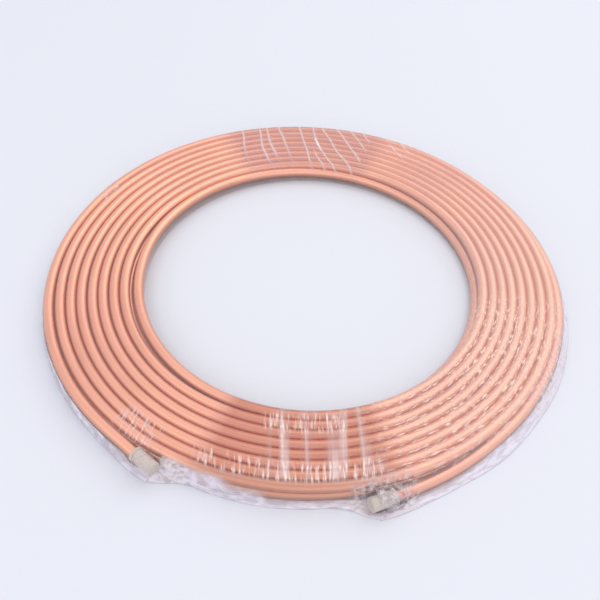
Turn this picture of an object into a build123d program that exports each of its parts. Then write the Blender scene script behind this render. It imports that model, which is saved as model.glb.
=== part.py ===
from build123d import *
from build123d.topology import SkipClean
from math import cos, pi, radians, sin, tan
import os

# Copper tube coil: soft copper tube wound as a flat coil of two rows, both free
# ends capped, the whole coil drawn into clear film. Millimetres, +Z up.
# The origin is on the floor, at the middle of the eye of the coil.
# Angles are in degrees, anticlockwise seen from above, from +X.

# Tube
tube_od = 6.35
tube_wall = 0.8
turn_pitch = 6.4
row_rise = 5.6          # height of the upper row above the lower one, centre to centre
valley_height = 1.1     # from the tubes' centres to the valleys between them
flat_angle = 45.0       # the tube's round is drawn with flats this wide, seen from its centre

# Winding: the lower row runs in to the eye, climbs, and the upper row runs out again
lower_turns = 9
upper_turns = 8
lower_eye_radius = 108.4    # centre of the lower row's innermost turn, where it crosses +X
row_shift = 3.7             # how much further out the upper row starts
climb_angle = 22.0
lower_end = 297.0
upper_end = 230.0

# Free ends of the tube
lower_tail_length = 21.0
upper_tail_length = 32.0
lower_tail_lift = 6.0
upper_tail_lift = 1.0
tail_bend_radius = 150.0
tail_bore_depth = 14.0

# End caps
cap_wall = 0.7
cap_grip = 12.0         # how far the tube goes into the cap
cap_crown = 2.4         # thickness of the cap's closed end
cap_clearance = 0.15
cap_edge = 0.6
bead_height = 0.4
bead_width = 1.5

# Clear film
film_thickness = 0.4
film_gap = 0.3
hem_reach = 7.0         # how far the film's foot stands out from the coil at the front
hem_least = 2.5         # and at the sides and the back
film_fold = 2.0
film_sides = 72         # straight pieces in the film's outline
seam_width = 2.0
seam_inset = 6.0

tube_radius = tube_od / 2
bore_radius = tube_radius - tube_wall
cap_radius = tube_radius + cap_clearance + cap_wall
bead_radius = cap_radius + bead_height
floor_level = film_thickness + film_gap
lower_level = floor_level + tube_radius
upper_level = lower_level + row_rise
row_joint = (lower_level + upper_level) / 2
half_flat = flat_angle / 2
corner_radius = tube_radius / cos(radians(half_flat))
joint_half_width = tube_radius * tan(radians(half_flat)) + (tube_radius - row_rise / 2) / tan(radians(flat_angle))
quarter_turn = 90.0
half_turn = 180.0
full_turn = 360.0
climb_end = half_turn + climb_angle
centre_shift = turn_pitch / 4       # the two half turns have centres this far off the origin
upper_eye_radius = lower_eye_radius + row_shift
lower_rim_radius = lower_eye_radius + (lower_turns - 1) * turn_pitch
upper_rim_radius = upper_eye_radius + upper_turns * turn_pitch
coil_top = upper_level + tube_radius
film_step = full_turn / film_sides
seam_radius = upper_rim_radius - turn_pitch + hem_reach - seam_inset


def row_section(centres, level):
    """Section of one row: flat where it meets the other row, a ridge for each turn.

    The tube's round is drawn with flats that touch it. The valleys lie midway
    between the turns, and the first and last turn show their whole side.
    """
    side = 1 if level < row_joint else -1       # 1 where the ridges point down
    crown = -side * quarter_turn
    ridge = [crown - side * half_flat, crown + side * half_flat]
    eye_side = [half_turn - side * half_flat, half_turn + side * half_flat]
    rim_side = [-side * half_flat, side * half_flat]
    outline = [(centres[0] - joint_half_width, row_joint)]
    for centre in centres:
        angles = list(ridge)
        if centre == centres[0]:
            angles = eye_side + angles
        if centre == centres[-1]:
            angles = angles + rim_side
        for angle in map(radians, angles):
            outline.append((centre + corner_radius * cos(angle), level + corner_radius * sin(angle)))
        if centre != centres[-1]:
            outline.append((centre + turn_pitch / 2, level - side * valley_height))
    outline.append((centres[-1] + joint_half_width, row_joint))
    return make_face(Polyline(*outline, close=True))


def row(turns, level, drift):
    """One row, from half turns given as (radius where it crosses +X, start, end).

    The back half and the front half are turned about two centres, to either side
    of the origin, so that each turn runs on into the next one.
    """
    sectors = []
    for half_start, side in ((0.0, -1), (half_turn, 1)):
        axis = Axis((side * drift, 0, 0), (0, 0, 1))
        half = [turn for turn in turns if half_start <= turn[1] and turn[2] <= half_start + half_turn]
        stops = sorted({angle for turn in half for angle in turn[1:]})
        for start, end in zip(stops, stops[1:]):
            centres = sorted(radius for radius, begins, stays in half if begins <= start and end <= stays)
            face = (Plane.XZ * row_section(centres, level)).rotate(axis, start)
            sectors.append(revolve(face, axis, end - start))
    return sectors


def half_turns(first_radius, count, start):
    """Neighbouring half turns of one row."""
    return [(first_radius + i * turn_pitch, start, start + half_turn) for i in range(count)]


def lower_row():
    """The row on the floor: each turn lies one pitch nearer the eye than the last."""
    back = half_turns(lower_eye_radius, lower_turns, 0.0)
    front = half_turns(lower_eye_radius, lower_turns - 1, half_turn)
    lead_in = [(lower_rim_radius, lower_end, full_turn)]
    return row(back + front + lead_in, lower_level, -centre_shift)


def upper_row():
    """The row on top: each turn lies one pitch further out than the last."""
    back = half_turns(upper_eye_radius, upper_turns, 0.0)
    front = half_turns(upper_eye_radius + turn_pitch, upper_turns - 1, half_turn)
    lead_in = [(upper_eye_radius, climb_end, full_turn)]
    lead_out = [(upper_rim_radius, half_turn, upper_end)]
    return row(back + front + lead_in + lead_out, upper_level, centre_shift)


def climb():
    """The tube beside the eye, rising from the lower row to the upper one."""
    stations = 5
    sides = round(full_turn / flat_angle)
    flatted_round = RegularPolygon(tube_radius, sides, major_radius=False, rotation=half_flat)
    sections = []
    for i in range(stations):
        share = i / (stations - 1)
        ease = (1 - cos(pi * share)) / 2
        radius = lower_eye_radius + ease * (upper_eye_radius - lower_eye_radius) - centre_shift
        height = lower_level + ease * row_rise
        turned = Pos(centre_shift, 0, 0) * Rot(0, 0, half_turn + share * climb_angle)
        section = Plane.XZ * flatted_round
        sections.append(turned * Pos(radius, 0, height) * section)
    return loft(sections, ruled=True)


def rim_end(rim_radius, centre_x, angle, level, heading):
    """Plane across the tube where it leaves the coil; heading is 1 for anticlockwise."""
    arm = rim_radius - centre_x
    turn = radians(angle)
    along = Vector(-heading * sin(turn), heading * cos(turn), 0)
    return Plane((centre_x + arm * cos(turn), arm * sin(turn), level), z_dir=along)


def tail_path(start, straight, lift):
    """Middle line of a free end: a slight upward bend, then a straight run."""
    upright = Plane(start.origin, x_dir=start.z_dir, z_dir=start.z_dir.cross(Vector(0, 0, 1)))
    bend = upright * CenterArc((0, tail_bend_radius), tail_bend_radius, -quarter_turn, lift)
    run = Line(bend @ 1, bend @ 1 + (bend % 1) * straight)
    return bend + run


def tail(start, path):
    """Free end of the tube, open at its tip."""
    tube = sweep(start * Circle(tube_radius), path=path)
    tip = Plane(path @ 1, z_dir=path % 1)
    bore = tip * Cylinder(bore_radius, tail_bore_depth, align=(Align.CENTER, Align.CENTER, Align.MAX))
    return tube - bore


def end_cap(path):
    """Cap pushed over the tube's tip, with a bead round its mouth."""
    tip = Plane(path @ 1, z_dir=path % 1)
    standing = (Align.CENTER, Align.CENTER, Align.MIN)
    depth = cap_grip + cap_clearance
    body = Cylinder(cap_radius, depth + cap_crown, align=standing)
    body = chamfer(body.edges().sort_by(Axis.Z)[-1], cap_edge)
    bead = Cylinder(bead_radius, bead_width, align=standing)
    hollow = Cylinder(tube_radius + cap_clearance, depth, align=standing)
    return tip * Pos(0, 0, -cap_grip) * (body + bead - hollow)


def turn_reach(radius, heading, bearing):
    """How far from the origin a turn lies at a bearing; heading is 1 in the upper row."""
    half = 1 if bearing < half_turn else -1
    return radius + heading * half * centre_shift * (1 - cos(radians(bearing)))


def eye_reach(bearing):
    """Side of the copper that faces the eye."""
    lower = turn_reach(lower_eye_radius, -1, bearing)
    upper = turn_reach(upper_eye_radius, 1, bearing)
    if half_turn <= bearing <= climb_end + film_step:
        return lower_eye_radius - turn_pitch / 2 - tube_radius
    return min(lower, upper) - tube_radius


def top_reach(bearing):
    """Outer side of the upper row."""
    last_turn = upper_rim_radius if half_turn <= bearing <= upper_end + film_step else upper_rim_radius - turn_pitch
    return turn_reach(last_turn, 1, bearing) + tube_radius


def foot_reach(bearing):
    """The film's foot, outside whichever row lies further out."""
    first_turn = lower_rim_radius
    if half_turn <= bearing <= lower_end - film_step:
        first_turn -= turn_pitch
    copper = max(turn_reach(first_turn, -1, bearing) + tube_radius, top_reach(bearing))
    facing_front = max(0, -sin(radians(bearing)))
    return copper + hem_least + (hem_reach - hem_least) * facing_front


def outline_at(reach, grown, level):
    """Face whose outline follows a side of the copper at a distance."""
    corners = []
    for i in range(film_sides):
        bearing = i * film_step
        size = (reach(bearing) + grown) / cos(radians(film_step / 2))
        corners.append((size * cos(radians(bearing)), size * sin(radians(bearing)), level))
    return make_face(Polyline(*corners, close=True))


def sleeve_shape(skin):
    """Ring round the coil at a distance; its outer side leans out to the foot."""
    floor = floor_level - skin
    shoulder = coil_top + skin - film_fold
    top = coil_top + skin
    body = loft([
        outline_at(foot_reach, skin, floor),
        outline_at(top_reach, skin, shoulder),
        outline_at(top_reach, skin - film_fold, top),
    ], ruled=True)
    eye = loft([
        outline_at(eye_reach, -skin, floor),
        outline_at(eye_reach, -skin, shoulder),
        outline_at(eye_reach, film_fold - skin, top),
    ], ruled=True)
    return body - eye


def pouch_shape(skin, start, path):
    """Room for a capped end: a slot seen from above, reaching down to the floor."""
    tip = path @ 1 + (path % 1) * (cap_clearance + cap_crown)
    span = Vector(tip.X - start.origin.X, tip.Y - start.origin.Y, 0)
    middle = start.origin + span / 2
    bearing = Vector(1, 0, 0).get_signed_angle(span, Vector(0, 0, 1))
    underside = floor_level - skin
    slot = SlotCenterToCenter(span.length, 2 * (bead_radius + skin))
    height = tip.Z + bead_radius + skin - underside
    return Pos(middle.X, middle.Y, underside) * Rot(0, 0, bearing) * extrude(slot, height)


def clear_film(ends):
    """Film over and under the coil, pouched at the capped ends, open at its seam."""
    outside = sleeve_shape(floor_level)
    inside = sleeve_shape(film_gap)
    for start, path in ends:
        outside += pouch_shape(floor_level, start, path)
        inside += pouch_shape(film_gap, start, path)
    seam = Cylinder(seam_radius, floor_level, align=(Align.CENTER, Align.CENTER, Align.MIN))
    seam -= Cylinder(seam_radius - seam_width, floor_level, align=(Align.CENTER, Align.CENTER, Align.MIN))
    return outside - inside - seam


lower_start = rim_end(lower_rim_radius, -centre_shift, lower_end, lower_level, -1)
upper_start = rim_end(upper_rim_radius, centre_shift, upper_end, upper_level, 1)
lower_path = tail_path(lower_start, lower_tail_length, lower_tail_lift)
upper_path = tail_path(upper_start, upper_tail_length, upper_tail_lift)

first, *others = lower_row() + upper_row()
free_ends = [tail(lower_start, lower_path), tail(upper_start, upper_path)]
with SkipClean():       # the faces stay split where one half turn runs on into the next
    coil = first.fuse(*others, climb(), *free_ends)

parts = {
    "copper_tube_coil": coil,
    "lower_end_cap": end_cap(lower_path),
    "upper_end_cap": end_cap(upper_path),
    "clear_film_wrap": clear_film([(lower_start, lower_path), (upper_start, upper_path)]),
}

os.makedirs("parts", exist_ok=True)
for node, shape in parts.items():
    export_step(shape, f"parts/{node}.step")
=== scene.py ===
# %% [markdown]
# # A flat coil of copper tube in clear film
# Fourteen metres of soft copper tube lie on a pale floor, wound in two rows round an
# open eye. Both ends are capped, and clear film is drawn tightly over all of it.
# The construction model gives the places and sizes. This file gives the looks.

# %% Load the frame
from math import cos, pi, radians, sin

import bpy
import numpy as np
from mathutils import Matrix, Vector, noise


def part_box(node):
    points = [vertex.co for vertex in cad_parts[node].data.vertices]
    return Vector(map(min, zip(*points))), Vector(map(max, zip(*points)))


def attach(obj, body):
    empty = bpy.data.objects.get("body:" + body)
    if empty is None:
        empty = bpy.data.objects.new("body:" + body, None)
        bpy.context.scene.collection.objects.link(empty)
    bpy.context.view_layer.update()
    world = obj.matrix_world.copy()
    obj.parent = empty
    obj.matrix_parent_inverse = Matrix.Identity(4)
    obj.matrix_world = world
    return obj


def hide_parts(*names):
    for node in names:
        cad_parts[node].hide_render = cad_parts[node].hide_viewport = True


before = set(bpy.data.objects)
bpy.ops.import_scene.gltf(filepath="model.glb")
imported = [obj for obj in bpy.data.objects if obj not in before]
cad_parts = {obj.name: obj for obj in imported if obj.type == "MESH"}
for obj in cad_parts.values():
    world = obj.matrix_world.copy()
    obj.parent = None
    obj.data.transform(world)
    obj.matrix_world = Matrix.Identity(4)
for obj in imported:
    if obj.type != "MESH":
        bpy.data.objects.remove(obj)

bpy.context.view_layer.update()
coil_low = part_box("copper_tube_coil")[0]

# %% [markdown]
# ## The camera
# The camera is the first thing to settle, because every comparison with the photograph
# depends on it. It stands in front of the coil at about arm's length and looks down at
# 45 degrees. It was held with a slight lean and a little off the middle, so the last
# three turns are made about the camera's own axes.

# %% Place the camera
view_distance = 0.5146
view_elevation = radians(45.59)
view_pan = radians(0.35)
view_tilt = radians(-1.27)
view_roll = radians(2.16)
view_lens = 47.7
floor_to_aim = 0.0004
nearest_seen = 0.01

stand = Vector((0, -view_distance * cos(view_elevation),
                view_distance * sin(view_elevation) + floor_to_aim))
turns = [(pi / 2 - view_elevation, "X"), (view_pan, "Y"), (view_tilt, "X"), (view_roll, "Z")]
facing = Matrix.Identity(4)
for angle, axis in turns:
    facing = facing @ Matrix.Rotation(angle, 4, axis)
bpy.ops.object.camera_add()
camera = bpy.context.object
camera.name = "photo_camera"
camera.data.lens = view_lens
camera.data.clip_start = nearest_seen
camera.matrix_world = Matrix.Translation(stand) @ facing
bpy.context.scene.camera = camera
print("camera", round(stand.length, 3), "m from the middle of the coil")

# %% [markdown]
# ## Small helpers
# Operators act on whatever is selected, so everything is deselected before a new piece
# is added. A node material is a chain of small steps, and these helpers add one step
# each and wire it up.

# %% Helpers for objects
def select_only(*objects):
    """Selects these objects and makes the first one active."""
    for other in bpy.context.selected_objects:
        other.select_set(False)
    for each in objects:
        each.select_set(True)
    if objects:
        bpy.context.view_layer.objects.active = objects[0]


def get_coords(piece):
    """The piece's vertices as an array of rows x, y, z."""
    flat = np.empty(len(piece.data.vertices) * 3)
    piece.data.vertices.foreach_get("co", flat)
    return flat.reshape(-1, 3)


def set_coords(piece, coords):
    """Puts an array of rows x, y, z back into the piece's vertices."""
    piece.data.vertices.foreach_set("co", coords.ravel())
    piece.data.update()


def face_outwards(piece):
    """Turns every face of a closed piece outwards."""
    select_only(piece)
    bpy.ops.object.mode_set(mode="EDIT")
    bpy.ops.mesh.select_all(action="SELECT")
    bpy.ops.mesh.normals_make_consistent(inside=False)
    bpy.ops.object.mode_set(mode="OBJECT")


# %% Helpers for materials
def new_material(name):
    """A material with its node tree, and the shader in it."""
    material = bpy.data.materials.new(name)
    material.use_nodes = True
    return material, material.node_tree.nodes["Principled BSDF"]


def add_node(material, kind, inputs=None, **settings):
    """One node with its settings; an input is a value or another node's output."""
    node = material.node_tree.nodes.new(kind)
    for key, value in settings.items():
        setattr(node, key, value)
    for key, value in (inputs or {}).items():
        if isinstance(value, bpy.types.NodeSocket):
            material.node_tree.links.new(value, node.inputs[key])
        else:
            node.inputs[key].default_value = value
    return node


def join_up(material, source, target):
    """Wires an output to an input."""
    material.node_tree.links.new(source, target)


def grain(material, place, scale, detail):
    """Soft noise from 0 to 1."""
    return add_node(material, "ShaderNodeTexNoise",
                    {"Vector": place, "Scale": scale, "Detail": detail}).outputs["Fac"]


def remap(material, value, low=0.0, high=1.0, to_low=0.0, to_high=1.0, **settings):
    """The value stretched so that low becomes to_low and high becomes to_high."""
    inputs = {"Value": value, "From Min": low, "From Max": high, "To Min": to_low, "To Max": to_high}
    return add_node(material, "ShaderNodeMapRange", inputs, **settings).outputs["Result"]


def mix_colors(material, share, first, second):
    """The first colour, with this share of the second in it."""
    return add_node(material, "ShaderNodeMix", {"Factor": share, "A": first, "B": second},
                    data_type="RGBA").outputs["Result"]


# %% [markdown]
# ## Floor and light
# The photograph is a bright studio shot: a pale, slightly blue table runs on without an
# edge, and light comes from all sides with a softer key from above. The background's
# paleness comes from the colour of the floor and the world, not from strong lamps, so
# the copper keeps its own colour. Beyond the reach of the lamps the floor itself is
# paler, so that it stays as bright as near the coil.

# %% Lay the floor
floor_size = 14.0
floor_color = (0.80, 0.815, 0.875, 1)
far_floor_color = (0.95, 0.96, 1.0, 1)
floor_roughness = 0.85
lamps_reach, lamps_end = 0.9, 3.5

select_only()
bpy.ops.mesh.primitive_plane_add(size=floor_size, location=(0, 0, 0))
floor = bpy.context.object
floor.name = "floor"
floor_finish, floor_shader = new_material("pale_table")
where = add_node(floor_finish, "ShaderNodeTexCoord").outputs["Object"]
distance = add_node(floor_finish, "ShaderNodeVectorMath", {0: where}, operation="LENGTH").outputs["Value"]
far_share = remap(floor_finish, distance, low=lamps_reach, high=lamps_end)
paler = mix_colors(floor_finish, far_share, floor_color, far_floor_color)
join_up(floor_finish, paler, floor_shader.inputs["Base Color"])
floor_shader.inputs["Roughness"].default_value = floor_roughness
floor.data.materials.append(floor_finish)
print("floor is", floor_size, "m wide")

# %% Hang the lights
def soft_box(name, place, size, power, color):
    """A square lamp that faces the middle of the coil."""
    select_only()
    bpy.ops.object.light_add(type="AREA", location=place)
    lamp = bpy.context.object
    lamp.name = name
    lamp.data.size = size
    lamp.data.energy = power
    lamp.data.color = color
    lamp.rotation_euler = (-Vector(place)).to_track_quat("-Z", "Y").to_euler()
    print(name, "hangs", round(Vector(place).length, 2), "m from the coil")


soft_box("key_light", place=(1.0, 0.9, 1.7), size=2.4, power=17, color=(1.0, 0.98, 0.96))
soft_box("fill_light", place=(-1.3, -0.9, 1.5), size=2.0, power=6, color=(0.96, 0.97, 1.0))
soft_box("front_light", place=(0.3, -1.5, 0.8), size=1.6, power=5, color=(1.0, 0.97, 0.98))

# %% [markdown]
# The world is a plain pale studio. A polished tube shows what it stands in, so mirrored
# and let-through rays find the studio at its full strength. The light that it sheds on
# dull surfaces is weaker, so that the floor keeps its colour and a soft shadow. What the
# camera sees of it behind the far floor lies between the two.

# %% Build the pale studio
studio_color = (0.93, 0.94, 0.98, 1)
shed_strength = 0.76
seen_strength = 1.0
backdrop_share = 0.35

world = bpy.data.worlds.new("studio")
bpy.context.scene.world = world
world.use_nodes = True
background = world.node_tree.nodes["Background"]
background.inputs["Color"].default_value = studio_color
rays = add_node(world, "ShaderNodeLightPath")
seen = add_node(world, "ShaderNodeMath", {0: rays.outputs["Is Glossy Ray"],
                                          1: rays.outputs["Is Transmission Ray"]}, operation="MAXIMUM")
backdrop = add_node(world, "ShaderNodeMath", {0: rays.outputs["Is Camera Ray"], 1: backdrop_share},
                    operation="MULTIPLY")
seen = add_node(world, "ShaderNodeMath", {0: seen.outputs[0], 1: backdrop.outputs[0]}, operation="MAXIMUM")
strength = remap(world, seen.outputs[0], to_low=shed_strength, to_high=seen_strength)
join_up(world, strength, background.inputs["Strength"])
bpy.context.scene.view_settings.view_transform = "Standard"
print("studio shines", shed_strength, "on dull surfaces")

# %% [markdown]
# ## The copper tube
# The real coil is one tube. It starts at a capped end on the rim, lies round the eye as
# the lower row, climbs onto that row and winds out again as the upper row. Spin could
# carry a circle round the eye, but it slows down over two thousand steps. The Screw
# modifier does the same turning at once: a circle is the tube's section, and the
# modifier winds it round nearly seventeen times.

# %% Sizes of the tube and the winding
tube_radius = 0.003175
tube_wall = 0.0008
turn_pitch = 0.0064
row_rise = 0.0056
row_shift = 0.0037          # how much further out the upper row starts
lower_turns = 9
upper_turns = 8
one_turn = 2 * pi
rows_start = radians(297)
rows_meet = one_turn * lower_turns + radians(180)
rows_end = one_turn * (lower_turns + upper_turns) + radians(230)
lower_level = coil_low.z + tube_radius
eye_radius = 0.1084         # lower row's innermost turn, where it crosses +X
meeting_radius = eye_radius - turn_pitch / 2

# %% Sizes of the free ends
lower_tail = 0.0367
upper_tail = 0.0346
tail_bend_radius = 0.15
lower_tail_lift = radians(6)
upper_tail_lift = radians(1)
bore_depth = 0.014


def row_radius(bearing):
    """Middle line of the even spiral: in to the eye, and out again."""
    return meeting_radius + turn_pitch * abs(bearing - rows_meet) / one_turn


lower_reach = np.arctan2(lower_tail, row_radius(rows_start))
upper_reach = np.arctan2(upper_tail, row_radius(rows_end) + row_shift)
tube_start = rows_start - lower_reach
tube_end = rows_end + upper_reach
tube_sides = 16
ring_spacing = radians(3)
ring_steps = round((tube_end - tube_start) / ring_spacing)
print("tube from", round(np.degrees(tube_start), 1), "to", round(np.degrees(tube_end), 1), "degrees")

# %% Carry the section round
start = (meeting_radius * cos(tube_start), meeting_radius * sin(tube_start), lower_level)
select_only()
bpy.ops.mesh.primitive_circle_add(vertices=tube_sides, radius=tube_radius, location=start,
                                  rotation=(pi / 2, 0, tube_start))
tube = bpy.context.object
tube.name = "wound_copper_tube"
bpy.ops.object.transform_apply(location=True, rotation=True, scale=False)
winding = tube.modifiers.new("winding", "SCREW")
winding.angle = tube_end - tube_start
winding.steps = winding.render_steps = ring_steps
bpy.ops.object.modifier_apply(modifier="winding")
bearings = np.linspace(tube_start, tube_end, ring_steps + 1)
print("tube wound in", len(bearings), "rings of", len(tube.data.vertices) / len(bearings))

# %% [markdown]
# The modifier keeps one radius, so all the turns lie in each other now. The rings of
# vertices follow each other along the tube, so a table of rings can open them into the
# spiral: each ring moves out by its share of a pitch. From the right side of the eye,
# round the back to its left, the innermost turn climbs slowly onto its neighbour and
# bulges out a little. The upper row then starts further out than the lower one ended.
# The two ends leave the round and run on straight, so there a ring moves out as a
# tangent does.

# %% Describe where each ring belongs
climb_start = one_turn * lower_turns - radians(20)
climb_end = one_turn * lower_turns + radians(225)
climb_bulge = 0.0009
shift_start = one_turn * lower_turns + radians(170)
shift_end = one_turn * lower_turns + radians(278)


def smooth_rise(value, low, high):
    """0 below low, 1 above high, and an even S between them."""
    share = np.clip((value - low) / (high - low), 0, 1)
    return share * share * (3 - 2 * share)


def tail_lift(distance, lift):
    """Height of a free end that bends up from the row and then runs straight."""
    bend = tail_bend_radius * sin(lift)
    curved = np.minimum(distance, bend) ** 2 / (2 * tail_bend_radius)
    return curved + np.maximum(distance - bend, 0) * np.tan(lift)


in_rows = np.clip(bearings, rows_start, rows_end)
radii = meeting_radius + turn_pitch * np.abs(in_rows - rows_meet) / one_turn
radii += row_shift * smooth_rise(in_rows, shift_start, shift_end)
heights = row_rise * smooth_rise(in_rows, climb_start, climb_end)
radii += climb_bulge * np.sin(pi * smooth_rise(in_rows, climb_start, climb_end))
print("rows rise by", round(float(heights[-1]) * 1000, 1), "mm")

# %% [markdown]
# ### The coil's own unevenness
# A coil that was wound by machine, tied up and carried about is never an even spiral. In
# the photograph the turns beside the eye sit a little to the right and towards the
# viewer, and the outer turns are drawn in tighter on the right and at the back, and lie
# looser on the left. The very first turn rides up before it settles into the lower row.
# These few values say how far. The free ends stay where their caps are.

# %% Lean the upper row and add a little wander
inner_lean = (0.00105, -0.00105, -0.00065)      # to the right, to the back, outwards
outer_lean = (-0.0013, -0.0006, -0.0020)
lean_fades_in, lean_fades_out = radians(60), radians(70)
back_tightness = 0.0022
back_tight_at = radians(70)
back_tight_focus = 2.0
wander_size, wander_seed = 0.00016, 0
bounce_size, bounce_seed = 0.00010, 50
waves_round, change_by_turn = 2.3, 0.4


def unevenness(seed):
    """A slow random wave along the tube that differs from turn to turn."""
    return np.array([noise.noise(Vector((waves_round * cos(bearing), waves_round * sin(bearing),
                                         seed + change_by_turn * bearing))) for bearing in bearings])


way_out = np.clip((bearings - rows_meet) / (rows_end - rows_meet), 0, 1)
upper_share = smooth_rise(bearings, climb_end - lean_fades_in, climb_end + lean_fades_in)
upper_share *= 1 - smooth_rise(bearings, rows_end - lean_fades_out, rows_end)
right, back, out = [inner + (outer - inner) * way_out for inner, outer in zip(inner_lean, outer_lean)]
lean = right * np.cos(bearings) + back * np.sin(bearings) + out
lean -= back_tightness * way_out ** 2 * np.exp(back_tight_focus * (np.cos(bearings - back_tight_at) - 1))
radii += upper_share * lean

held_at_ends = smooth_rise(bearings, rows_start, rows_start + 1)
held_at_ends = held_at_ends * (1 - smooth_rise(bearings, rows_end - 1, rows_end))
radii += wander_size * held_at_ends * unevenness(wander_seed)
heights += bounce_size * held_at_ends * unevenness(bounce_seed)
print("upper row leans by up to", round(float(np.abs(upper_share * lean).max()) * 1000, 1), "mm")

# %% Let the first turn ride up
first_turn_lift = 0.0030        # beside the rim at the front right
first_turn_pull = 0.0012
lifts_from, lifted_at = tube_start + radians(5), rows_start + radians(20)
sinks_from, sunk_at = radians(345), radians(385)

riding_up = smooth_rise(bearings, lifts_from, lifted_at)
riding_up *= 1 - smooth_rise(bearings, sinks_from, sunk_at)
heights += first_turn_lift * riding_up
radii -= first_turn_pull * riding_up
print("first turn rides up by", round(float((first_turn_lift * riding_up).max()) * 1000, 1), "mm")

# %% Run the free ends straight
before = np.maximum(rows_start - bearings, 0)
after = np.maximum(bearings - rows_end, 0)
heights += (tail_lift(radii * np.tan(before), lower_tail_lift)
            + tail_lift(radii * np.tan(after), upper_tail_lift))
radii /= np.cos(before) * np.cos(after)

rings = get_coords(tube).reshape(-1, tube_sides, 3)
outward = radii - meeting_radius
rings[:, :, 0] += (outward * np.cos(bearings))[:, None]
rings[:, :, 1] += (outward * np.sin(bearings))[:, None]
rings[:, :, 2] += heights[:, None]
set_coords(tube, rings)
print("coil lies", round(radii.min() * 1000, 1), "to", round(radii.max() * 1000, 1), "mm from the middle")

# %% Bore the two ends
def select_edges(piece, wanted):
    """In edit mode, selects only the edges whose two ends are both in this set."""
    mesh = piece.data
    bpy.ops.object.mode_set(mode="OBJECT")
    mesh.vertices.foreach_set("select", np.isin(np.arange(len(mesh.vertices)), list(wanted)))
    mesh.edges.foreach_set("select", [all(end in wanted for end in edge.vertices) for edge in mesh.edges])
    mesh.polygons.foreach_set("select", np.zeros(len(mesh.polygons), dtype=bool))
    bpy.ops.object.mode_set(mode="EDIT")


last = len(bearings) - 1
bore_share = 1 - tube_wall / tube_radius
select_only(tube)
for tip, next_ring in ((0, 1), (last, last - 1)):
    wanted = range(tip * tube_sides, (tip + 1) * tube_sides)
    middle = Vector(rings[tip].mean(axis=0))
    inwards = (Vector(rings[next_ring].mean(axis=0)) - middle).normalized() * bore_depth
    bpy.ops.object.mode_set(mode="EDIT")
    bpy.ops.mesh.select_mode(type="EDGE")
    select_edges(tube, set(wanted))
    bpy.ops.mesh.extrude_edges_move()
    bpy.ops.transform.resize(value=(bore_share,) * 3, center_override=middle)
    bpy.ops.mesh.extrude_edges_move()
    bpy.ops.transform.translate(value=inwards)
    bpy.ops.mesh.edge_face_add()
    bpy.ops.object.mode_set(mode="OBJECT")
face_outwards(tube)
print("tube has", len(tube.data.polygons), "faces")

# %% [markdown]
# ### The copper
# New copper that was drawn through a die and annealed is bright but not polished. Fine
# draw lines run along it, and its colour drifts between pink and yellow where it was
# handled or has begun to tarnish. The lines have to follow the tube, so each vertex
# carries its length along the tube and its place round it. Shade is painted into the
# colour as brown: on the lower flanks, which face down, on the second and third turn,
# which lie in shadow under the rim, and on the rim's turns at the front, between the caps.

# %% Mark the run of the tube
def window(values, low, high, soft):
    """1 from low to high, fading to 0 over the soft width outside."""
    return np.clip((values - low) / soft + 1, 0, 1) * np.clip((high - values) / soft + 1, 0, 1)


def add_mark(piece, name, values):
    """Puts one value, or one row of three, on each vertex for the material to read."""
    values = np.asarray(values, dtype=np.float32)
    kind, field = ("FLOAT", "value") if values.ndim == 1 else ("FLOAT_VECTOR", "vector")
    piece.data.attributes.new(name, kind, "POINT").data.foreach_set(field, values.ravel())


ring_count = len(bearings)
vertex_count = len(tube.data.vertices)
wall_vertices = ring_count * tube_sides
run = np.concatenate(((0.0,), np.cumsum(radii[1:] * np.diff(bearings))))
round_angle = np.arange(tube_sides) * one_turn / tube_sides
along = np.zeros((vertex_count, 3), dtype=np.float32)
along[:wall_vertices, 0] = np.tile(np.cos(round_angle), ring_count)
along[:wall_vertices, 1] = np.tile(np.sin(round_angle), ring_count)
along[:wall_vertices, 2] = np.repeat(run, tube_sides)

above_middle = rings[:, :, 2] - rings[:, :, 2].mean(axis=1)[:, None]
facing_up = np.zeros(vertex_count, dtype=np.float32)
facing_up[:wall_vertices] = (above_middle / tube_radius).ravel()

# Painted shade on the rim's turns at the front, and where the shaded turns lie.
rim_shade_share = 0.9
second_and_third = (325, 740, 20)       # degrees along the tube, and how softly they fade
between_the_caps = (252, 286, 7)        # degrees round the eye
rim_turns = (153, 170, 3)               # millimetres from the middle

under_rim = window(np.degrees(bearings - rows_start), *second_and_third)
front = window(np.degrees(bearings) % 360, *between_the_caps)
on_the_rim = window(radii * 1000, *rim_turns)
in_shade = np.zeros(vertex_count, dtype=np.float32)
in_shade[:wall_vertices] = np.repeat(np.maximum(under_rim, rim_shade_share * front * on_the_rim), tube_sides)

add_mark(tube, "facing_up", facing_up)
add_mark(tube, "in_shade", in_shade)
add_mark(tube, "along_the_tube", along)
print("tube is", round(run[-1], 2), "m long")

# %% Mix the copper
copper_pink, copper_yellow = (0.84, 0.37, 0.28, 1), (0.92, 0.48, 0.29, 1)
# The second brown is painted shade, on the lower flanks and the shaded turns; the first is tarnish.
tarnish_brown, painted_shade_brown = (0.62, 0.25, 0.15, 1), (0.38, 0.14, 0.08, 1)
shade_brownness = 0.7
line_stretch, patch_stretch = (7, 7, 6), (0.5, 0.5, 22)     # fine draw lines, and short patches
line_strength, line_depth = 0.12, 0.0001

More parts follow.
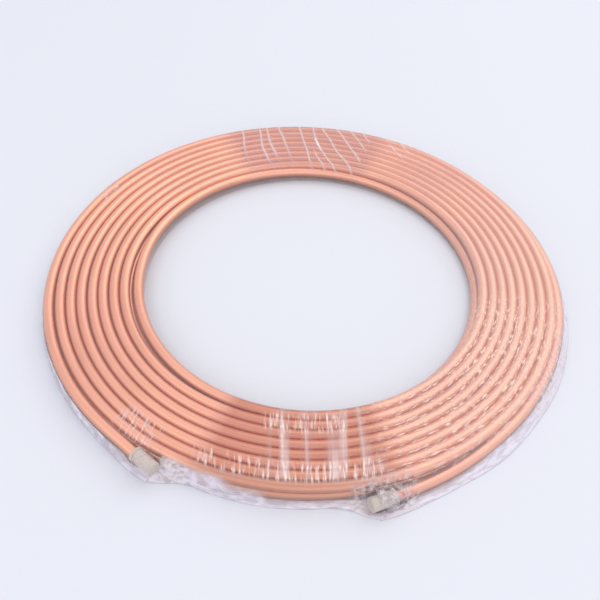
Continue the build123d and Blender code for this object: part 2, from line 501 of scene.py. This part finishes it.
copper, copper_shader = new_material("annealed_copper")
copper_shader.inputs["Metallic"].default_value = 1.0
where = add_node(copper, "ShaderNodeTexCoord").outputs["Object"]
run_mark = add_node(copper, "ShaderNodeAttribute", attribute_name="along_the_tube").outputs["Vector"]
draw_lines = add_node(copper, "ShaderNodeVectorMath", {0: run_mark, 1: line_stretch}, operation="MULTIPLY")
draw_lines = grain(copper, draw_lines.outputs[0], scale=2.0, detail=4)
patches = add_node(copper, "ShaderNodeVectorMath", {0: run_mark, 1: patch_stretch}, operation="MULTIPLY")
patches = grain(copper, patches.outputs[0], scale=1.0, detail=3)
clouds = grain(copper, where, scale=11.0, detail=2)
tint = mix_colors(copper, clouds, copper_pink, copper_yellow)
tarnish = remap(copper, patches, low=0.45, high=0.75, to_high=0.35)
tint = mix_colors(copper, tarnish, tint, tarnish_brown)
upness = add_node(copper, "ShaderNodeAttribute", attribute_name="facing_up").outputs["Fac"]
shaded = add_node(copper, "ShaderNodeAttribute", attribute_name="in_shade").outputs["Fac"]
# Painted shade: the lower flanks, which face down, and the turns marked in_shade turn brown.
underside_shade = remap(copper, upness, low=-0.25, high=0.85, to_low=0.55, to_high=0.0,
               interpolation_type="SMOOTHSTEP")
painted_shade_share = add_node(copper, "ShaderNodeMath", {0: shaded, 1: shade_brownness}, operation="MULTIPLY")
painted_shade_share = add_node(copper, "ShaderNodeMath", {0: painted_shade_share.outputs[0], 1: underside_shade}, operation="MAXIMUM")
tint = mix_colors(copper, painted_shade_share.outputs[0], tint, painted_shade_brown)
join_up(copper, tint, copper_shader.inputs["Base Color"])
dullness = remap(copper, draw_lines, to_low=0.28, to_high=0.46)
join_up(copper, dullness, copper_shader.inputs["Roughness"])
scratches = add_node(copper, "ShaderNodeBump",
                     {"Height": draw_lines, "Strength": line_strength, "Distance": line_depth})
join_up(copper, scratches.outputs["Normal"], copper_shader.inputs["Normal"])

rim_of_tip_shows = radians(40)
tube.data.materials.append(copper)
select_only(tube)
bpy.ops.object.shade_smooth_by_angle(angle=rim_of_tip_shows)
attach(tube, "root")
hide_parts("copper_tube_coil")
print("copper mixed from", len(copper.node_tree.nodes), "nodes")

# %% [markdown]
# ## The clear film
# The coil is drawn into thin clear film. It lies tight on the turns, sinks a little
# between them, slants down outside the rim to a crinkled hem on the floor, and runs
# back under the coil. Its section is a closed loop, so a circle of vertices is carried
# once round the eye, and each loop is then laid round the copper at its own bearing.

# %% Carry a loop of film round the eye
film_steps = 720
film_gap = 0.0003
film_floor = 0.0002
under_points, top_points, side_points = 8, 34, 9
eye_looks = np.radians(np.arange(225, 99, -12.5))      # where the film faces at the eye, floor to top
rim_looks = np.radians(np.arange(80, -11, -15))        # and at the rim, top to floor
fold_points = 2
loop_size = under_points + len(eye_looks) + top_points + len(rim_looks) + side_points + fold_points

select_only()
bpy.ops.mesh.primitive_circle_add(vertices=loop_size, radius=tube_radius,
                                  location=(eye_radius, 0, lower_level), rotation=(pi / 2, 0, 0))
film = bpy.context.object
film.name = "crinkled_clear_film"
bpy.ops.object.transform_apply(location=True, rotation=True, scale=False)
sweep = film.modifiers.new("sweep", "SCREW")
sweep.angle = one_turn
sweep.steps = sweep.render_steps = film_steps
bpy.ops.object.modifier_apply(modifier="sweep")
print("film has", len(film.data.vertices), "vertices in loops of", loop_size)

# %% [markdown]
# At each bearing the table of the tube's rings says where the turns are. The film is
# pulled tight, so where it faces a direction it touches the turn that lies furthest
# that way. Between the first and the last turn on top it hangs slightly into the
# valleys. Outside the rim it slants down to a lip, folds over, and comes back in.

# %% Describe the film's section at one bearing
skin = tube_radius + film_gap
valley_sag = 0.00035
hem_lip = 0.0009
lip_out, lip_back = 0.0003, 0.0004
film_bearings = np.arange(film_steps) * one_turn / film_steps
turn_count = lower_turns + upper_turns + 2
upper_row_start = one_turn * lower_turns + radians(200)


def turns_at(bearing):
    """Radius, height and number of every turn at this bearing, and which of them lie on top."""
    places = bearing + one_turn * np.arange(turn_count)
    places = places[(places >= tube_start) & (places <= tube_end)]
    return (np.interp(places, bearings, radii), lower_level + np.interp(places, bearings, heights),
            places / one_turn, places > upper_row_start)


def touching(reach, level, looks):
    """Points where a tight skin faces these directions."""
    chosen = np.argmax(reach[:, None] * np.cos(looks) + level[:, None] * np.sin(looks), axis=0)
    return np.column_stack((reach[chosen] + skin * np.cos(looks), level[chosen] + skin * np.sin(looks)))


def between(start, end, count):
    """Evenly spaced points between two points, without the two."""
    shares = np.arange(1, count + 1) / (count + 1)
    return start + np.outer(shares, end - start)


def film_loop(bearing, rim_wall, reach_out):
    """The film's section at this bearing: radius, height, and the number of the turn below."""
    reach, level, turn, on_top = turns_at(bearing)
    eye_side = touching(reach, level, eye_looks)
    rim_side = touching(reach, level, rim_looks)
    over = between(eye_side[-1], rim_side[0], top_points)
    order = np.argsort(reach[on_top])
    crowns, crown_levels = reach[on_top][order], level[on_top][order]
    phase = np.interp(over[:, 0], crowns, np.arange(len(crowns)))
    over[:, 1] = np.interp(over[:, 0], crowns, crown_levels) + skin - valley_sag * np.sin(pi * phase) ** 2
    foot = np.array((max(rim_side[-1][0], rim_wall) + reach_out, hem_lip))
    slant = between(rim_side[-1], foot, side_points)
    fold = np.array(((foot[0] + lip_out, hem_lip / 2), (foot[0] - lip_back, film_floor)))
    eye_foot = np.array((eye_side[0][0], film_floor))
    under = between(fold[-1], eye_foot, under_points - 1)
    section = np.vstack((under, [eye_foot], eye_side, over, rim_side, slant[:-1], [foot], fold))
    return np.column_stack((section, np.interp(section[:, 0], crowns, turn[on_top][order])))


# %% [markdown]
# The film's side is the part that moves freely. Its foot reaches further out at the
# front and the right than behind, as the photograph shows, and no step is left where the
# film lets go of one turn and hangs from another. The slant is then crumpled by two
# random waves, one long and one short.

# %% Lay the film round the copper
def smooth_noise(places, scale, seed):
    """A closed random line round the eye with about this many waves."""
    size = scale / one_turn
    return np.array([noise.noise(Vector((size * cos(place), size * sin(place), seed)))
                     for place in places])


def smoothed(line, steps):
    """A closed line of values, averaged over this many steps to each side."""
    spread = range(-steps, steps + 1)
    return sum(np.roll(line, step, axis=0) for step in spread) / len(spread)


hem_reaches = {0: 0.0022, 60: 0.0010, 200: 0.0012, 244: 0.0008, 258: 0.0030, 290: 0.0030, 322: 0.0048,
               345: 0.0042}     # by bearing in degrees
wall_reach, wall_blur, side_blur = 6, 5, 8      # in steps round the eye
hem_waves = ((0.30, 22, 3), (0.06, 90, 7))      # each: depth, waves round the eye, seed
ruffles = ((1.0, 60, 11, 0.45), (0.5, 170, 31, 0.8))    # and how fast it changes down the slant
hem_crumple, crumple_up = 0.0007, 0.5

rim_walls = np.array([turns_at(bearing)[0].max() + skin for bearing in film_bearings])
rim_walls = np.max([np.roll(rim_walls, step) for step in range(-wall_reach, wall_reach + 1)], axis=0)
rim_walls = smoothed(smoothed(rim_walls, wall_blur), wall_blur)
hem_out = np.interp(np.degrees(film_bearings), list(hem_reaches), list(hem_reaches.values()), period=360)
hem_out = smoothed(hem_out, side_blur)
hem_out *= 1 + sum(depth * smooth_noise(film_bearings, waves, seed) for depth, waves, seed in hem_waves)
loops = np.array([film_loop(*here) for here in zip(film_bearings, rim_walls, hem_out)])
foot_index = loop_size - fold_points - 1
last_touch = foot_index - side_points
side = slice(last_touch - 2, foot_index)       # from the last points that touch copper to above the foot
loops[:, side, :2] = smoothed(smoothed(loops[:, side, :2], side_blur), side_blur)
for step in range(1, side_points):
    ruffle = sum(depth * smooth_noise(film_bearings, waves, seed + change * step)
                 for depth, waves, seed, change in ruffles)
    loops[:, last_touch + step, 0] += hem_crumple * ruffle
    loops[:, last_touch + step, 1] += crumple_up * hem_crumple * ruffle
print("film stands", round(loops[:, :, 1].max() * 1000, 2), "mm high")

# %% Puff the film out over the caps
def cap_line(name):
    """Middle line of a cap: two points, and its radius."""
    points = get_coords(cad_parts[name])
    middle = points.mean(axis=0)
    spread = np.linalg.svd(points - middle, full_matrices=False)[2][0]
    along = (points - middle) @ spread
    off = np.linalg.norm(points - middle - np.outer(along, spread), axis=1)
    return middle + spread * along.min(), middle + spread * along.max(), off.max()


cap_puffs = {"lower_end_cap": (0.0022, 0.0012, 0.0006), "upper_end_cap": (0.0010, 0.0008, 0.0006)}
loop_way = film_bearings[:, None]
places = np.dstack((loops[:, :, 0] * np.cos(loop_way), loops[:, :, 0] * np.sin(loop_way), loops[:, :, 1]))
for name, puffs in cap_puffs.items():
    mouth, tip, size = cap_line(name)
    line = tip - mouth
    for puff in puffs:
        share = np.clip((places - mouth) @ line / (line @ line), 0, 1)
        away = places - (mouth + share[:, :, None] * line)
        distance = np.linalg.norm(away, axis=2)
        push = np.maximum(size + film_gap + puff - distance, 0)
        push[:, :under_points + 1] = 0
        push = (np.roll(push, 1, axis=0) + push + np.roll(push, -1, axis=0)) / 3
        places += away / distance[:, :, None] * push[:, :, None]
places[:, :, 2] = np.maximum(places[:, :, 2], film_floor)
set_coords(film, places)
face_outwards(film)
bpy.ops.object.shade_smooth()
print("film measures", [round(length * 1000, 1) for length in film.dimensions], "mm")

# %% [markdown]
# ### Where the film is creased
# Film that was drawn tight has folds, and where they catch the light, thin whitish lines
# are painted on as highlights. It looks milky where it stands free of the copper. The
# photograph has long folds across the back, broad soft ones across the front, short ones
# near the front rim, crossed ones on the left, broken painted glints on the right, and
# crumpled film round the caps. Each kind gets a mark on the film's vertices, and the
# material paints its highlight lines only there. The numbers are bearings in degrees and
# radii in millimetres, read off the photograph.

# %% Mark where the film stands free and looks milky
bearing_there = np.degrees(np.repeat(film_bearings, loop_size))
flat_places = places.reshape(-1, 3)
height_there = flat_places[:, 2]
reach_there = np.hypot(flat_places[:, 0], flat_places[:, 1]) * 1000
index_there = np.tile(np.arange(loop_size), film_steps)

milky_height, milky_fade = 0.0045, 0.003
milkier_at_cap, milkier_at_right = 0.0085, 0.0032
cap_bearing, cap_half_width, cap_fullness = 250, 9, 1.6
milky_below = milky_height + milkier_at_cap * np.clip(
    cap_fullness - abs(bearing_there - cap_bearing) / cap_half_width, 0, 1)
milky_below += milkier_at_right * window(bearing_there, 310, 350, 12)
rim_starts = last_touch - 4
milky_rim = np.clip((milky_below - height_there) / milky_fade, 0, 1) * (index_there >= rim_starts)

lower_turn_level, between_rows, hang_blur = 0.003, 0.005, 12
slant_fade = 3
slanting = np.clip((index_there - last_touch + 1) / slant_fade, 0, 1)
hangs_from = np.clip((places[:, last_touch - 1, 2] - lower_turn_level) / between_rows, 0, 1)
slanting *= np.repeat(smoothed(smoothed(hangs_from, hang_blur), hang_blur), loop_size)
clear_front = window(bearing_there, 266, 322, 8)
clear_above, clear_fade = 0.0030, 0.0015
slanting *= 1 - clear_front * np.clip((height_there - clear_above) / clear_fade, 0, 1)
print("milky on", int((np.maximum(slanting, milky_rim) > 0.5).sum()), "vertices")


# %% Mark the creased places
def patch(bearing_low, bearing_high, reach_low, reach_high, bearing_soft=4, reach_soft=4):
    """A marked patch of the film between two bearings and two radii in millimetres."""
    return (window(bearing_there, bearing_low, bearing_high, bearing_soft)
            * window(reach_there, reach_low, reach_high, reach_soft))


top_from, top_fade = 0.0060, 0.0020
light_bearing, light_focus = -12, 1.5
on_top = np.clip((height_there - top_from) / top_fade, 0, 1)
facing_light = np.clip(np.cos(np.radians(bearing_there - light_bearing)), 0, 1) ** light_focus
marks = {
    "bright_side": facing_light,
    "free_film": np.maximum(slanting, milky_rim),
    "long_folds": on_top * patch(88, 111, 108, 170, 2),
    "slanted_folds": on_top * patch(73, 88, 108, 170, 2, 4) + on_top * patch(60, 66, 140, 170, 1),
    "pink_veil": on_top * (patch(72, 112, 108, 170, 6) + 0.4 * patch(44, 66, 108, 170, 10)),
    "brown_veil": on_top * patch(252, 288, 108, 151, 6),
    "crumpled": (patch(281, 291, 156, 175, 2, 3) + patch(243.5, 248, 158, 170, 1.5, 3)
                 + 0.7 * patch(326, 342, 161, 175, 5, 4)),
    "broad_folds": on_top * patch(264, 286, 106, 150, 3),
    "short_folds": on_top * (patch(250, 284, 143, 153, 4, 2) + patch(262, 280, 113, 122, 3, 3)),
    # the glints on the right are painted highlights, in dashes along the turns
    "painted_glints": on_top * patch(294, 345, 110, 158, 10, 5),
    "crossed_folds": patch(231, 239, 144, 157, 2, 2) + patch(150, 156, 152, 165, 2, 2),
}
for name, values in marks.items():
    add_mark(film, name, np.clip(values, 0, 1))

dashes_round = 32       # so that dashes follow the turns and are longer than they are wide
way = np.radians(bearing_there)
add_mark(film, "turn_below", loops[:, :, 2].ravel())
add_mark(film, "winding_way", np.column_stack((dashes_round * np.cos(way), dashes_round * np.sin(way),
                                               reach_there)))
print("marked", ", ".join(marks))

# %% Start the film's material
film_roughness = 0.22
fold_wander = 1.2

film_finish, film_shader = new_material("clear_crinkled_film")
film_shader.inputs["Roughness"].default_value = film_roughness
where = add_node(film_finish, "ShaderNodeTexCoord").outputs["Object"]


def mark(name):
    """One of the film's marks."""
    return add_node(film_finish, "ShaderNodeAttribute", attribute_name=name).outputs["Fac"]


def calc(operation, first, second):
    """One sum, product or other step on two values."""
    return add_node(film_finish, "ShaderNodeMath", {0: first, 1: second}, operation=operation).outputs[0]


def across(direction):
    """Distance across lines that run in this direction over the coil."""
    turned = radians(direction - 90)
    return add_node(film_finish, "ShaderNodeVectorMath", {0: where, 1: (cos(turned), sin(turned), 0)},
                    operation="DOT_PRODUCT").outputs["Value"]


def folds(place, spacing, width, broken, seed):
    """Whitish painted highlight lines of even width at uneven spacings, wandering, and broken here and
    there.
    """
    drift = grain(film_finish, where, scale=22.0, detail=1)
    place = calc("ADD", calc("MULTIPLY", place, 1 / spacing), calc("MULTIPLY", drift, fold_wander))
    cells = add_node(film_finish, "ShaderNodeTexVoronoi", {"W": calc("ADD", place, seed), "Scale": 1.0},
                     voronoi_dimensions="1D", feature="DISTANCE_TO_EDGE")
    line = remap(film_finish, cells.outputs["Distance"], high=width / spacing, to_low=1.0, to_high=0.0,
                 interpolation_type="SMOOTHSTEP")
    gaps = grain(film_finish, where, scale=1 / broken, detail=1)
    return calc("MULTIPLY", line, remap(film_finish, gaps, low=0.30, high=0.42))


def streaks(direction, wide, long, low, high):
    """Soft uneven streaks that run along a direction."""
    place = add_node(film_finish, "ShaderNodeCombineXYZ", {
        0: calc("DIVIDE", across(direction), wide), 1: calc("DIVIDE", across(direction + 90), long)})
    return remap(film_finish, grain(film_finish, place.outputs[0], scale=1.0, detail=2), low, high)


def specks(size, low, high):
    """Small rounded patches of noise."""
    return remap(film_finish, grain(film_finish, where, scale=1 / size, detail=2), low, high)


# %% [markdown]
# Each layer below is one kind of fold: where it is marked, its painted highlight lines,
# and how white they are. The film between them is nearly clear. A painted sheen makes it
# a little hazier towards the light, and painted shade makes it hazier and deeper in tint
# in the valleys between the turns, where it hangs in the shade of the tube. Two veils tint
# it, one at the back and one at the front.

# %% Layer the folds
winding_there = add_node(film_finish, "ShaderNodeAttribute",
                         attribute_name="winding_way").outputs["Vector"]
dashes = remap(film_finish, grain(film_finish, winding_there, scale=0.9, detail=2), low=0.50, high=0.68)
short_streaks = streaks(273, wide=0.0016, long=0.0110, low=0.48, high=0.66)
layers = [
    (mark("long_folds"),
     folds(across(103), spacing=0.0100, width=0.0018, broken=0.050, seed=3.1), 0.36),
    (mark("slanted_folds"),
     folds(across(113), spacing=0.0085, width=0.0017, broken=0.120, seed=4.4), 0.36),
    (mark("broad_folds"), streaks(272, wide=0.0060, long=0.0900, low=0.42, high=0.72), 0.42),
    (mark("short_folds"), short_streaks, 0.30),
    (mark("painted_glints"), dashes, 0.40),
    (mark("crossed_folds"), streaks(130, wide=0.0014, long=0.0200, low=0.48, high=0.66), 0.28),
    (mark("crossed_folds"), streaks(75, wide=0.0014, long=0.0160, low=0.52, high=0.64), 0.30),
    (mark("crumpled"), specks(size=0.0026, low=0.38, high=0.70), 0.55),
]
# The painted highlights of all the layers add up here, and they make the film whiter.
painted_fold_highlights = 0.0
for place, lines, highlight_whiteness in layers:
    painted_fold_highlights = calc("ADD", painted_fold_highlights, calc("MULTIPLY", calc("MULTIPLY", place, lines), highlight_whiteness))

# %% Add the milky haze
crinkled_milk, even_milk = 0.36, 0.48
lit_haze, least_haze, densest = 0.20, 0.10, 0.92
veil_haze, valley_haze, valley_sharpness = 0.18, 0.20, 8.0

free = mark("free_film")
crinkle = remap(film_finish, grain(film_finish, winding_there, scale=0.7, detail=3), low=0.40, high=0.66)
hem_milk = calc("MULTIPLY", free, calc("ADD", calc("MULTIPLY", crinkle, crinkled_milk), even_milk))
thin_haze = calc("ADD", calc("MULTIPLY", mark("bright_side"), lit_haze), least_haze)
flat_place = add_node(film_finish, "ShaderNodeSeparateXYZ", {0: where}).outputs
bearing_below = calc("DIVIDE", calc("ARCTAN2", flat_place["Y"], flat_place["X"]), one_turn)
from_crown = calc("SUBTRACT", mark("turn_below"), bearing_below)
valley = calc("ABSOLUTE", calc("SINE", calc("MULTIPLY", from_crown, pi), 0.0), 0.0)
valley = calc("POWER", valley, valley_sharpness)
veil = calc("ADD", mark("pink_veil"), mark("brown_veil"))
haze = calc("ADD", calc("ADD", painted_fold_highlights, hem_milk),
            calc("ADD", thin_haze, calc("MULTIPLY", veil, veil_haze)))
hidden_valley = calc("MULTIPLY", valley, calc("SUBTRACT", 1.0, free))
haze = calc("ADD", haze, calc("MULTIPLY", hidden_valley, valley_haze))
join_up(film_finish, calc("MINIMUM", haze, densest), film_shader.inputs["Alpha"])

# %% Tint the film
tight_tint, free_tint = (1.0, 0.84, 0.82, 1), (0.90, 0.84, 0.94, 1)
highlight_cover, valley_cover, crumple_cover = 2.2, 0.90, 0.8      # how fully these hide the tint below
crease_relief, relief_strength, relief_depth = 0.4, 0.30, 0.0005

film_tint = mix_colors(film_finish, free, tight_tint, free_tint)
plain = calc("SUBTRACT", 1.0, calc("MINIMUM", calc("MULTIPLY", painted_fold_highlights, highlight_cover), 1.0))
# The valley tint is painted shade; the peach tints on the glints and the short folds are painted
# highlights.
tints = [
    (calc("MULTIPLY", calc("MULTIPLY", valley, plain), valley_cover), (0.62, 0.30, 0.23, 1)),
    (calc("MULTIPLY", mark("pink_veil"), plain), (0.56, 0.37, 0.42, 1)),
    (calc("MULTIPLY", mark("brown_veil"), plain), (0.48, 0.20, 0.17, 1)),
    (calc("MULTIPLY", mark("painted_glints"), dashes), (1.0, 0.78, 0.64, 1)),
    (calc("MULTIPLY", mark("short_folds"), short_streaks), (1.0, 0.78, 0.68, 1)),
    (calc("MULTIPLY", mark("crumpled"), crumple_cover), (0.80, 0.73, 0.76, 1)),
]
for place, color in tints:
    film_tint = mix_colors(film_finish, place, film_tint, color)
join_up(film_finish, film_tint, film_shader.inputs["Base Color"])
relief = calc("ADD", calc("MULTIPLY", painted_fold_highlights, crease_relief), calc("MULTIPLY", crinkle, free))
ridges = add_node(film_finish, "ShaderNodeBump",
                  {"Height": relief, "Strength": relief_strength, "Distance": relief_depth})
join_up(film_finish, ridges.outputs["Normal"], film_shader.inputs["Normal"])

film.data.materials.append(film_finish)
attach(film, "root")
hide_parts("clear_film_wrap")
film_area = sum(face.area for face in film.data.polygons)
print("film area", round(film_area, 4), "square metres")

# %% [markdown]
# ## The end caps
# Each free end is closed with a small moulded cap. The caps keep their places and shapes
# from the construction model, and only get the look of milky plastic.

# %% Finish the caps
cap_roughness = 0.42
cap_dark, cap_light = (0.50, 0.42, 0.38, 1), (0.68, 0.60, 0.55, 1)
cap_finish, cap_shader = new_material("milky_plastic")
cap_shader.inputs["Roughness"].default_value = cap_roughness
where = add_node(cap_finish, "ShaderNodeTexCoord").outputs["Object"]
smudges = grain(cap_finish, where, scale=260.0, detail=3)
join_up(cap_finish, mix_colors(cap_finish, smudges, cap_dark, cap_light), cap_shader.inputs["Base Color"])
for name in ("lower_end_cap", "upper_end_cap"):
    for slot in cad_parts[name].material_slots:
        slot.material = cap_finish
print("caps finished")
